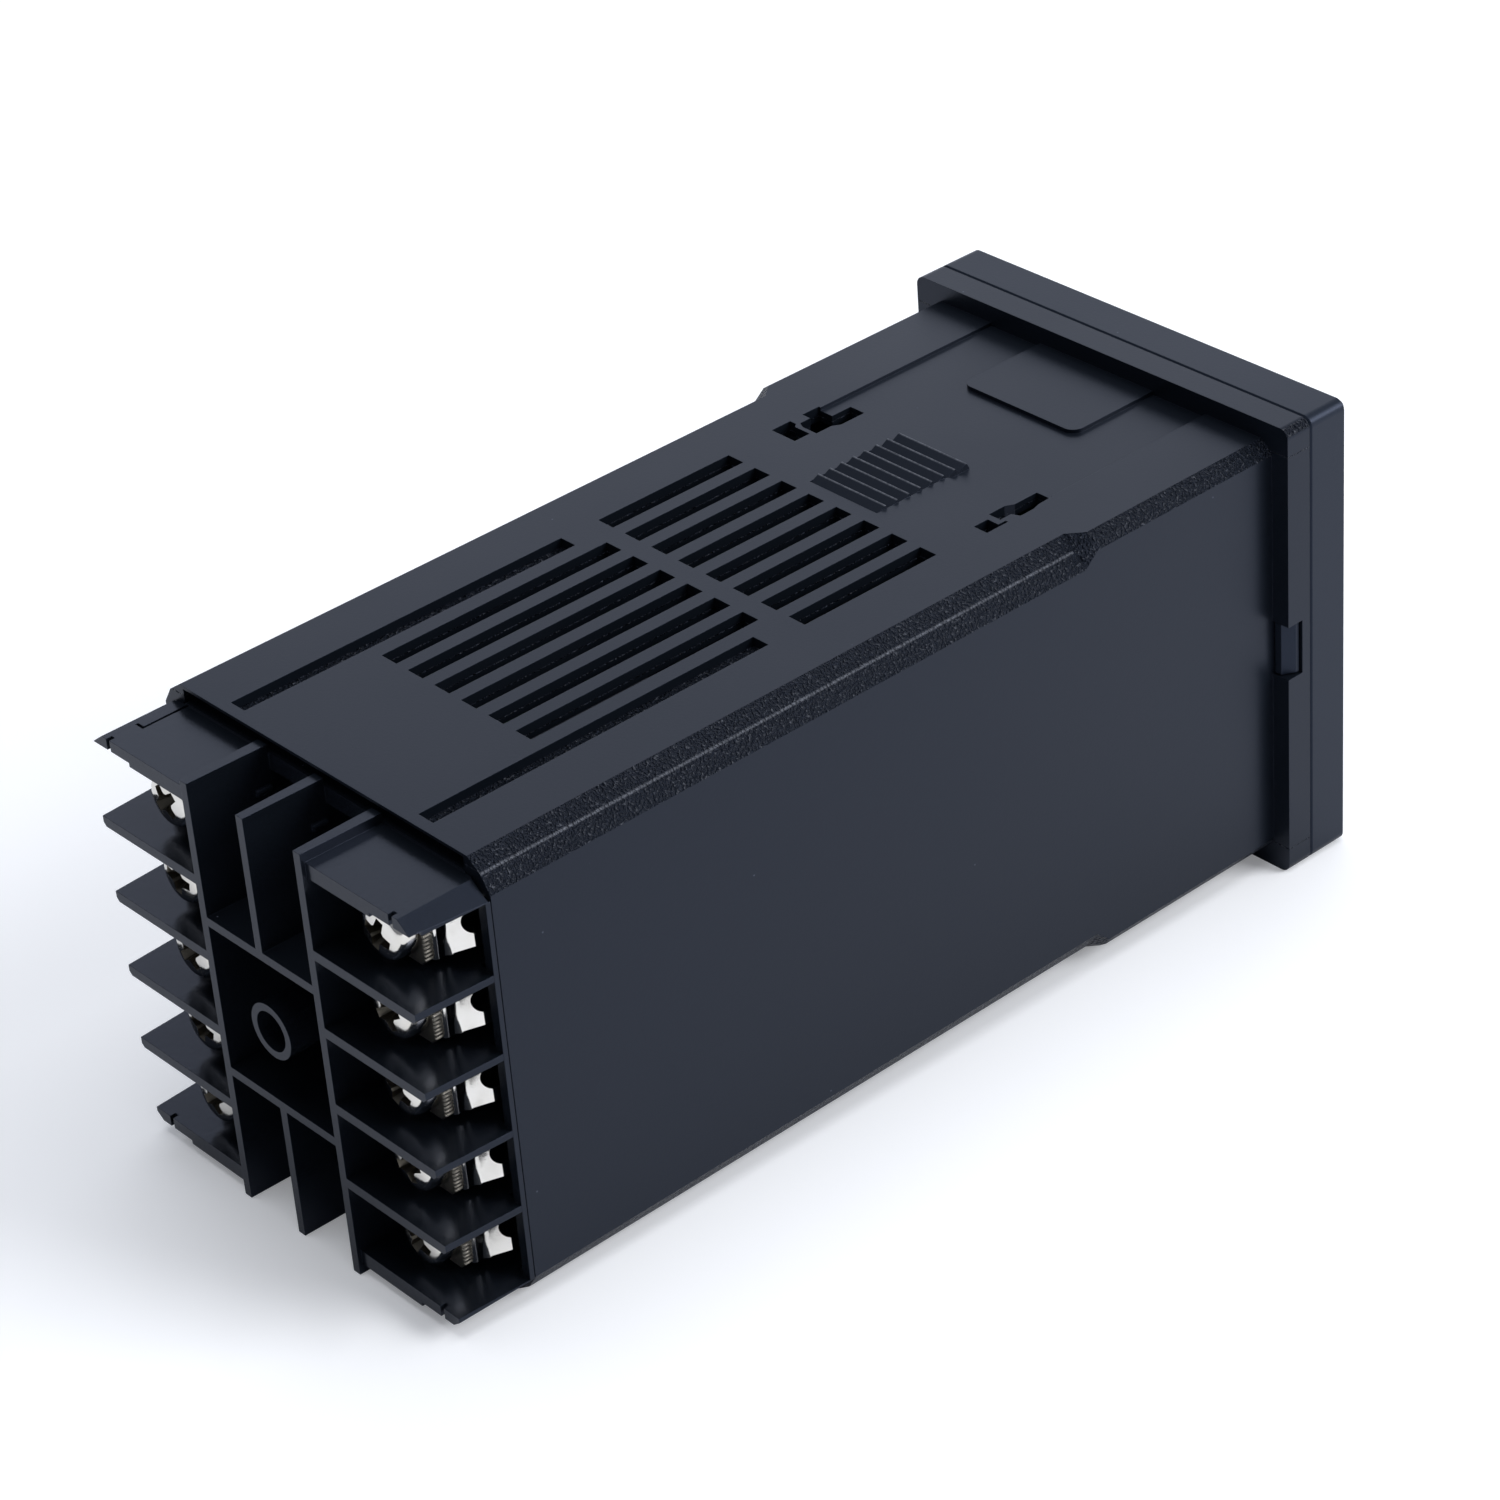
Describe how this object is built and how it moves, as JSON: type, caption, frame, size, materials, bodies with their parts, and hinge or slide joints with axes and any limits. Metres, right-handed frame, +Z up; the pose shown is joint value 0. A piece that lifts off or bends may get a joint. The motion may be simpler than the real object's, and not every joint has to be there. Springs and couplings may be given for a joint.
{
  "type": "pid temperature controller",
  "caption": "Square-front panel temperature controller in a long black vented case, with a rear block of screw terminals and pushable keys.",
  "frame": {"origin": "below the middle of the length, on the level of the front frame's lower edge", "axes": "+Y from the front face to the terminals, +Z up, +X to the right of someone who looks at the front"},
  "size_m": [0.048, 0.1084, 0.048],
  "materials": {
    "case_plastic": "fine satin",
    "bezel_plastic": "fine satin",
    "block_plastic": "satin",
    "smoked_window": "polished",
    "circuit_board": "satin",
    "display_module": "satin",
    "lamp_lens": "clear",
    "switch_housing": "matt",
    "header_plastic": "matt",
    "laminated_steel": "varnished",
    "winding_tape": "satin",
    "relay_case": "satin",
    "capacitor_sleeve": "satin",
    "chip_resin": "matt",
    "key_plastic": "satin",
    "plated_terminal": "bright nickel",
    "plated_washer": "bright nickel",
    "plated_screw": "bright nickel"
  },
  "bodies": {
    "housing": {"case": "case_plastic", "front_bezel": "bezel_plastic", "terminal_block": "block_plastic", "display_window": "smoked_window", "display_board": "circuit_board", "upper_display": "display_module", "lower_display": "display_module", "status_leds": "lamp_lens", "tact_switches": "switch_housing", "board_headers": "header_plastic", "main_board": "circuit_board", "power_board": "circuit_board", "transformer_core": "laminated_steel", "transformer_bobbin": "winding_tape", "output_relay": "relay_case", "alarm_relay": "relay_case", "smoothing_capacitor": "capacitor_sleeve", "small_capacitors": "capacitor_sleeve", "processor_chip": "chip_resin", "terminal_plate_1": "plated_terminal", "terminal_plate_2": "plated_terminal", "terminal_plate_3": "plated_terminal", "terminal_plate_4": "plated_terminal", "terminal_plate_5": "plated_terminal", "terminal_plate_6": "plated_terminal", "terminal_plate_7": "plated_terminal", "terminal_plate_8": "plated_terminal", "terminal_plate_9": "plated_terminal", "terminal_plate_10": "plated_terminal"},
    "set_key": {"key_set": "key_plastic", "plunger_set": "switch_housing"},
    "shift_key": {"key_shift": "key_plastic", "plunger_shift": "switch_housing"},
    "down_key": {"key_down": "key_plastic", "plunger_down": "switch_housing"},
    "up_key": {"key_up": "key_plastic", "plunger_up": "switch_housing"},
    "washer_1": {"clamp_washer_1": "plated_washer"},
    "screw_1": {"terminal_screw_1": "plated_screw"},
    "washer_2": {"clamp_washer_2": "plated_washer"},
    "screw_2": {"terminal_screw_2": "plated_screw"},
    "washer_3": {"clamp_washer_3": "plated_washer"},
    "screw_3": {"terminal_screw_3": "plated_screw"},
    "washer_4": {"clamp_washer_4": "plated_washer"},
    "screw_4": {"terminal_screw_4": "plated_screw"},
    "washer_5": {"clamp_washer_5": "plated_washer"},
    "screw_5": {"terminal_screw_5": "plated_screw"},
    "washer_6": {"clamp_washer_6": "plated_washer"},
    "screw_6": {"terminal_screw_6": "plated_screw"},
    "washer_7": {"clamp_washer_7": "plated_washer"},
    "screw_7": {"terminal_screw_7": "plated_screw"},
    "washer_8": {"clamp_washer_8": "plated_washer"},
    "screw_8": {"terminal_screw_8": "plated_screw"},
    "washer_9": {"clamp_washer_9": "plated_washer"},
    "screw_9": {"terminal_screw_9": "plated_screw"},
    "washer_10": {"clamp_washer_10": "plated_washer"},
    "screw_10": {"terminal_screw_10": "plated_screw"}
  },
  "joints": [
    {"name": "set_key_press", "type": "slide", "parent": "housing", "child": "set_key", "axis": [0, 1, 0], "range_m": [0, 0.0003], "stiffness_N_per_m": 1500, "springref_m": -0.0006},
    {"name": "shift_key_press", "type": "slide", "parent": "housing", "child": "shift_key", "axis": [0, 1, 0], "range_m": [0, 0.0003], "stiffness_N_per_m": 1500, "springref_m": -0.0006},
    {"name": "down_key_press", "type": "slide", "parent": "housing", "child": "down_key", "axis": [0, 1, 0], "range_m": [0, 0.0003], "stiffness_N_per_m": 1500, "springref_m": -0.0006},
    {"name": "up_key_press", "type": "slide", "parent": "housing", "child": "up_key", "axis": [0, 1, 0], "range_m": [0, 0.0003], "stiffness_N_per_m": 1500, "springref_m": -0.0006},
    {"name": "washer_1_lift", "type": "slide", "parent": "housing", "child": "washer_1", "axis": [0, 1, 0], "range_m": [0, 0.0025]},
    {"name": "screw_1_turn", "type": "hinge", "parent": "washer_1", "child": "screw_1", "pos_m": [0.0145, 0.04972, 0.0394], "axis": [0, 1, 0], "range_deg": [0, 1800]},
    {"name": "washer_2_lift", "type": "slide", "parent": "housing", "child": "washer_2", "axis": [0, 1, 0], "range_m": [0, 0.0025]},
    {"name": "screw_2_turn", "type": "hinge", "parent": "washer_2", "child": "screw_2", "pos_m": [0.0145, 0.04972, 0.03155], "axis": [0, 1, 0], "range_deg": [0, 1800]},
    {"name": "washer_3_lift", "type": "slide", "parent": "housing", "child": "washer_3", "axis": [0, 1, 0], "range_m": [0, 0.0025]},
    {"name": "screw_3_turn", "type": "hinge", "parent": "washer_3", "child": "screw_3", "pos_m": [0.0145, 0.04972, 0.0237], "axis": [0, 1, 0], "range_deg": [0, 1800]},
    {"name": "washer_4_lift", "type": "slide", "parent": "housing", "child": "washer_4", "axis": [0, 1, 0], "range_m": [0, 0.0025]},
    {"name": "screw_4_turn", "type": "hinge", "parent": "washer_4", "child": "screw_4", "pos_m": [0.0145, 0.04972, 0.01585], "axis": [0, 1, 0], "range_deg": [0, 1800]},
    {"name": "washer_5_lift", "type": "slide", "parent": "housing", "child": "washer_5", "axis": [0, 1, 0], "range_m": [0, 0.0025]},
    {"name": "screw_5_turn", "type": "hinge", "parent": "washer_5", "child": "screw_5", "pos_m": [0.0145, 0.04972, 0.008], "axis": [0, 1, 0], "range_deg": [0, 1800]},
    {"name": "washer_6_lift", "type": "slide", "parent": "housing", "child": "washer_6", "axis": [0, 1, 0], "range_m": [0, 0.0025]},
    {"name": "screw_6_turn", "type": "hinge", "parent": "washer_6", "child": "screw_6", "pos_m": [-0.0145, 0.04972, 0.0394], "axis": [0, 1, 0], "range_deg": [0, 1800]},
    {"name": "washer_7_lift", "type": "slide", "parent": "housing", "child": "washer_7", "axis": [0, 1, 0], "range_m": [0, 0.0025]},
    {"name": "screw_7_turn", "type": "hinge", "parent": "washer_7", "child": "screw_7", "pos_m": [-0.0145, 0.04972, 0.03155], "axis": [0, 1, 0], "range_deg": [0, 1800]},
    {"name": "washer_8_lift", "type": "slide", "parent": "housing", "child": "washer_8", "axis": [0, 1, 0], "range_m": [0, 0.0025]},
    {"name": "screw_8_turn", "type": "hinge", "parent": "washer_8", "child": "screw_8", "pos_m": [-0.0145, 0.04972, 0.0237], "axis": [0, 1, 0], "range_deg": [0, 1800]},
    {"name": "washer_9_lift", "type": "slide", "parent": "housing", "child": "washer_9", "axis": [0, 1, 0], "range_m": [0, 0.0025]},
    {"name": "screw_9_turn", "type": "hinge", "parent": "washer_9", "child": "screw_9", "pos_m": [-0.0145, 0.04972, 0.01585], "axis": [0, 1, 0], "range_deg": [0, 1800]},
    {"name": "washer_10_lift", "type": "slide", "parent": "housing", "child": "washer_10", "axis": [0, 1, 0], "range_m": [0, 0.0025]},
    {"name": "screw_10_turn", "type": "hinge", "parent": "washer_10", "child": "screw_10", "pos_m": [-0.0145, 0.04972, 0.008], "axis": [0, 1, 0], "range_deg": [0, 1800]}
  ],
  "couplings": [
    {"joint": "screw_1_turn", "follows": "washer_1_lift", "rad_per_m": 12566},
    {"joint": "screw_2_turn", "follows": "washer_2_lift", "rad_per_m": 12566},
    {"joint": "screw_3_turn", "follows": "washer_3_lift", "rad_per_m": 12566},
    {"joint": "screw_4_turn", "follows": "washer_4_lift", "rad_per_m": 12566},
    {"joint": "screw_5_turn", "follows": "washer_5_lift", "rad_per_m": 12566},
    {"joint": "screw_6_turn", "follows": "washer_6_lift", "rad_per_m": 12566},
    {"joint": "screw_7_turn", "follows": "washer_7_lift", "rad_per_m": 12566},
    {"joint": "screw_8_turn", "follows": "washer_8_lift", "rad_per_m": 12566},
    {"joint": "screw_9_turn", "follows": "washer_9_lift", "rad_per_m": 12566},
    {"joint": "screw_10_turn", "follows": "washer_10_lift", "rad_per_m": 12566}
  ]
}
